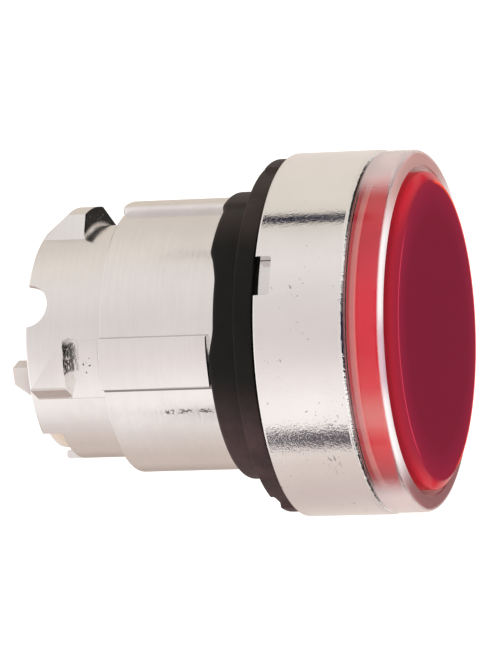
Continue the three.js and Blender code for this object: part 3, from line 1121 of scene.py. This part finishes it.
def make_diffuser(material):
    """The disc that spreads the lamp's light, with rings on its rear face."""
    front = diffuser_at.front
    rear = diffuser_at.rear
    profile = [(0, front, 0), (diffuser_at.radius, front, 0.15), (diffuser_at.radius, rear, 0.15)]
    for i in range(8):
        outer = 6.8 - i * 0.8
        profile.append((outer, rear, 0.03))
        profile.append((outer - 0.4, rear - 0.25, 0.03))
    profile.append((0, rear, 0))
    made = turned("diffuser", profile)
    return settle(made, "diffuser", "diffuser_disc", "button", material)


def make_holder(material):
    """The cup that carries the lens, with a web that fits the plunger's front end."""
    web = holder_at.rear - 1
    step = lens_at.rear + 0.05
    mouth = 10.3
    cup = 11.7
    bore = plunger_at_radius() + 0.05
    made = turned("holder", [
        (mouth, holder_at.front, 0.1),
        (cup, holder_at.front, 0.15),
        (cup, step, 0.05),
        (holder_at.radius, step, 0.1),
        (holder_at.radius, holder_at.rear, 0.15),
        (bore, holder_at.rear, 0.1),
        (bore, web, 0.1),
        (mouth, web, 0.1),
    ])
    return settle(made, "holder", "lens_holder", "button", material)


def foot(clock, up):
    """A foot that stands out of the plunger's rear end and presses a contact block."""
    half = 1.17
    inside = 6.8
    outside = plunger_at_radius() - 0.01
    root = RIM - 2.5
    rear = plunger_at.rear
    outline = [(-half, root), (half, root), (half, rear), (-half + 0.95, rear), (-half, rear - 1.1)]
    body = radial_prism([(across * up, y) for across, y in outline], inside - 1, outside + 1, clock)
    shell = turned("shell", [
        (inside, root, 0),
        (outside, root, 0),
        (outside, rear, 0),
        (inside, rear, 0),
    ], FINE)
    return soften_object(combine(body, shell, "INTERSECT"), 0.18)


def make_plunger(material):
    """The cream tube through the barrel, with its flange, tongue, feet and inner ribs."""
    outside = plunger_at_radius()
    bore = 7.3
    flange_front = -1.2
    flange_rear = -0.2
    rear = RIM - 1.9
    tube = turned("tube", [
        (bore, plunger_at.front, 0.12),
        (outside, plunger_at.front, 0.12),
        (outside, flange_front, 0.1),
        (plunger_at.radius, flange_front, 0.1),
        (plunger_at.radius, flange_rear, 0.1),
        (outside, flange_rear, 0.1),
        (outside, rear, 0.15),
        (bore, rear, 0.15),
    ], FINE)
    tongue = sector(bore + 0.01, outside - 0.01, BOTTOM - 50, BOTTOM + 50, rear - 0.5, RIM, 0.15)
    added = [tongue, foot(LEFT - 12.8, 1), foot(RIGHT + 12.8, -1)]
    for clock in (45, 135, 225, 315):
        added.append(sector(bore - 0.5, bore + 0.3, clock - 3, clock + 3, -4, rear - 0.6, 0.1))
    for extra in added:
        combine(tube, extra, "UNION")
    return settle(tube, "tube", "plunger", "button", material)


# ---------- studio ----------

SQUARE = ((-1, -1), (1, -1), (1, 1), (-1, 1))


def studio_material(name, colour, glow=0.0):
    """A plain matt surface for the floor and the cards round the object."""
    m = Nodes(name)
    m.set(Base_Color=colour, Roughness=1.0, Specular_IOR_Level=0.0)
    if glow:
        m.set(Emission_Color=colour, Emission_Strength=glow)
    return m.material


# How bright the tent is, as (degrees round it, tone), in its front part and in its rear.
TENT_FRONT = [
    (-180, (0.84, 0.75, 0.69)),
    (-150, (0.82, 0.72, 0.67)),
    (-115, (0.75, 0.64, 0.62)),
    (-84, (0.84, 0.74, 0.69)),
    (-55, (1.12, 1.07, 1.06)),
    (-41, (1.15, 1.12, 1.11)),
    (-28, (1.06, 0.99, 0.99)),
    (-14, (0.90, 0.84, 0.84)),
    (0, (0.83, 0.77, 0.77)),
    (20, (0.87, 0.82, 0.81)),
    (41, (0.94, 0.91, 0.89)),
    (58, (0.89, 0.85, 0.82)),
    (70, (0.77, 0.73, 0.66)),
    (90, (0.90, 0.85, 0.77)),
    (150, (0.87, 0.79, 0.73)),
    (180, (0.84, 0.75, 0.69)),
]
TENT_REAR = [
    (-180, (0.66, 0.57, 0.52)),
    (-155, (0.50, 0.41, 0.37)),
    (-135, (0.70, 0.60, 0.55)),
    (-115, (0.73, 0.63, 0.58)),
    (-88, (0.86, 0.79, 0.77)),
    (-68, (1.09, 1.06, 1.05)),
    (-50, (1.14, 1.11, 1.11)),
    (-34, (1.06, 1.02, 1.02)),
    (-16, (0.95, 0.89, 0.89)),
    (0, (0.88, 0.84, 0.84)),
    (16, (0.84, 0.81, 0.81)),
    (43, (0.91, 0.885, 0.88)),
    (76, (0.93, 0.87, 0.82)),
    (100, (0.80, 0.75, 0.70)),
    (150, (0.74, 0.66, 0.58)),
    (180, (0.70, 0.61, 0.55)),
]


def tones_round(m, turn_share, tones, glow):
    """A colour that goes by the angle round the tent, for an emission of strength glow."""
    stops = [((degrees + 180) / 360, tuple(part / glow for part in tone)) for degrees, tone in tones]
    return m.ramp(turn_share, stops)


def tent_material():
    """Glowing cloth, brightest low in front of the object and dimmer and warmer under it.

    The tone goes by the angle round the tent, in degrees, from 0 level with the camera's side to
    90 overhead and -90 below. The bezel mirrors the cloth's front part, and the barrel its rear.
    """
    glow = 1.2
    m = Nodes("tent_cloth")
    along, _, _ = m.axial()
    share = m.rerange(m.clock(), -math.pi, math.pi)
    front = tones_round(m, share, TENT_FRONT, glow)
    rear = tones_round(m, share, TENT_REAR, glow)
    further_back = m.ease(along, 31, 37)
    m.set(Base_Color=(0, 0, 0), Roughness=1.0, Specular_IOR_Level=0.0)
    m.set(Emission_Color=m.mix(further_back, front, rear), Emission_Strength=glow)
    return m.material


def make_tent():
    """An open-ended tube of cloth round the object's axis, which lights it from all sides."""
    radius, front, rear, sides = 120, -30, 150, 96
    shape = bmesh.new()
    rings = []
    for y in (front, rear):
        angles = [math.tau * i / sides for i in range(sides)]
        places = [Vector((radius * math.sin(a), y, radius * math.cos(a))) for a in angles]
        rings.append([shape.verts.new(place * MM) for place in places])
    stitch(shape, *rings)
    tent = object_from("tent", shape)
    up = View.to_part @ View.above
    near = View.to_part @ View.nearer
    tent.matrix_world = Matrix((up, Vector((0, 1, 0)), near)).transposed().to_4x4()
    tent.data.materials.append(tent_material())
    tent.visible_camera = False


def card(name, centre, facing, along, width, length, material):
    """A card that only mirror reflections see, with its length lying along one direction."""
    facing = facing.normalized()
    along = (along - facing * facing.dot(along)).normalized()
    half_length = along * length / 2
    half_width = facing.cross(along) * width / 2
    made = flat(name, [centre + half_length * u + half_width * v for u, v in SQUARE])
    made.data.materials.append(material)
    made.visible_camera = False
    made.visible_shadow = False
    made.visible_diffuse = False
    made.visible_transmission = False


def strip(name, degrees, wide, front, rear, material):
    """A dark strip inside the tent, along the axis, at an angle round it and so many degrees wide."""
    radius = 112
    angle = math.radians(degrees)
    way = View.to_part @ (View.nearer * math.cos(angle) + View.above * math.sin(angle))
    centre = way * radius + Vector((0, (front + rear) / 2, 0))
    width = 2 * radius * math.tan(math.radians(wide / 2))
    card(name, centre, way, Vector((0, 1, 0)), width, rear - front, material)


def screen(name, way, width, length, material):
    """A dark screen that stands some way from the object, level along its length."""
    distance = 170
    way = Vector(way).normalized()
    level = way.cross(Vector((0, 1, 0)))
    centre = View.to_part @ (way * distance)
    card(name, centre, View.to_part @ way, View.to_part @ level, width, length, material)


def mottled_material():
    """A slate-grey cloth with lighter and darker flecks."""
    m = Nodes("card_slate")
    flecks = m.noise(260, 3, 0.7)
    m.set(Base_Color=m.ramp(flecks, [(0.38, (0.05, 0.045, 0.07)), (0.62, (0.32, 0.30, 0.33))]))
    m.set(Roughness=1.0, Specular_IOR_Level=0.0)
    return m.material


def make_cards():
    """The dark things that the bright metal and the lens mirror."""
    slate = mottled_material()
    dark = studio_material("card_dark", (0.02, 0.02, 0.045))
    shade = studio_material("card_shade", (0.034, 0.03, 0.03))
    strip("strip_low", -65.3, 12.6, -20, 33, slate)
    strip("strip_barrel", -63.4, 1.8, 35, 40, dark)
    strip("strip_high", 73.0, 6.4, 16, 33, dark)
    screen("screen_lens", (0.80, 0.03, -0.53), 170, 170, shade)
    screen("screen_right", (0.60, 0.04, 0.80), 140, 190, dark)
    screen("screen_behind", (0.28, 0.02, -0.93), 130, 90, shade)
    screen("screen_above", (0.56, 0.83, -0.05), 110, 210, shade)
    screen("screen_below", (0.56, -0.83, -0.05), 110, 210, shade)


def make_floor():
    """A wide pale floor well under the object."""
    reach = 6000
    level = -160
    floor = flat("floor", [Vector((reach * u, reach * v, level)) for u, v in SQUARE])
    floor.data.materials.append(studio_material("floor_white", (0.92, 0.915, 0.905), 0.3))


def make_world():
    """An even white room."""
    world = bpy.data.worlds.new("studio")
    bpy.context.scene.world = world
    world.use_nodes = True
    background = world.node_tree.nodes["Background"]
    background.inputs["Color"].default_value = (1.0, 0.992, 0.984, 1)
    background.inputs["Strength"].default_value = 1.05


# ---------- the assembly ----------

make_camera()

chrome = chrome_material()
cast = cast_material()
rubber = rubber_material()
grey_rubber = grey_rubber_material()
clear = clear_material()
red = red_material()
frosted = frosted_material()
steel = steel_material()
cream = cream_material()
white = white_material()

make_barrel(cast)
make_bezel(chrome)
make_gasket(rubber)
make_collar(clear)
make_ring("collar_gasket", "collar_seal", "head", grey_rubber, 12.9)
make_ring("clamp_ring", "seal_clamp_ring", "head", white, 9.9)
make_ring("washer", "spring_washer", "head", steel, NECK_BORE, 0.08)
make_lip_seal(grey_rubber)
make_bush(white)
make_spring(steel)
make_lens(red)
make_ring("lens_gasket", "lens_seal", "button", grey_rubber, 10.6)
make_diffuser(frosted)
make_holder(white)
make_plunger(cream)

make_floor()
make_world()
make_tent()
make_cards()
bpy.context.scene.view_settings.view_transform = "Standard"
